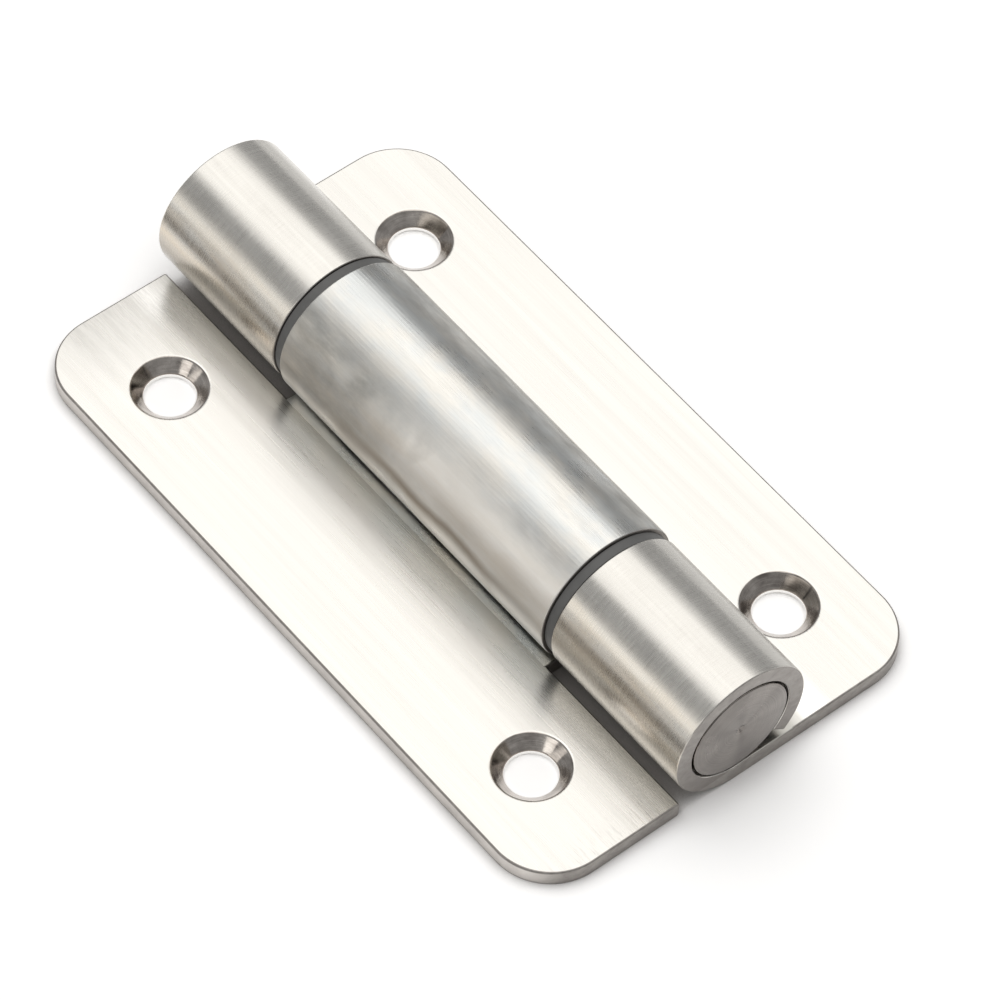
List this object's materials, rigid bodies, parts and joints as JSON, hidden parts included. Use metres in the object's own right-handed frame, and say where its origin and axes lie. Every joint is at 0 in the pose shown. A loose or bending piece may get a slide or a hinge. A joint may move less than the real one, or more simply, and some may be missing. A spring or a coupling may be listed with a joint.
{
  "type": "self-closing cubicle door hinge",
  "caption": "Flat butt hinge with rolled knuckles, a helical cam and a spring inside the barrel that close the door, and countersunk screw holes.",
  "frame": {"origin": "on the mounting plane below the middle of the barrel", "axes": "+Y along the barrel, +X towards leaf A, +Z away from the door"},
  "size_m": [0.0608, 0.102, 0.0202],
  "materials": {
    "stainless": "satin brushed",
    "plug_steel": "turned",
    "washer_nylon": "matt dark grey",
    "bush_nylon": "matt natural",
    "cam_steel": "hardened, greased",
    "spring_steel": "flat wire",
    "pin_steel": "plain"
  },
  "bodies": {
    "leaf_a_body": {"leaf_a": "stainless", "near_plug": "plug_steel", "far_plug": "plug_steel", "spindle": "plug_steel", "near_washer": "washer_nylon", "far_washer": "washer_nylon", "plug_pins": "pin_steel", "spring": "spring_steel"},
    "leaf_b_body": {"leaf_b": "stainless", "near_bush": "bush_nylon", "far_bush": "bush_nylon", "fixed_cam": "cam_steel", "cam_pin": "pin_steel"},
    "cam_body": {"sliding_cam": "cam_steel"}
  },
  "joints": [
    {"name": "leaf_b_swing", "type": "hinge", "parent": "leaf_a_body", "child": "leaf_b_body", "pos_m": [0, 0, 0.0101], "axis": [0, 1, 0], "range_deg": [0, 180], "stiffness_Nm_per_rad": 0.11, "springref_deg": -77.35},
    {"name": "cam_slide", "type": "slide", "parent": "leaf_a_body", "child": "cam_body", "axis": [0, 1, 0], "range_m": [0, 0.00705], "deforming": ["spring"]}
  ],
  "couplings": [
    {"joint": "cam_slide", "follows": "leaf_b_swing", "m_per_rad": 0.0022282}
  ]
}
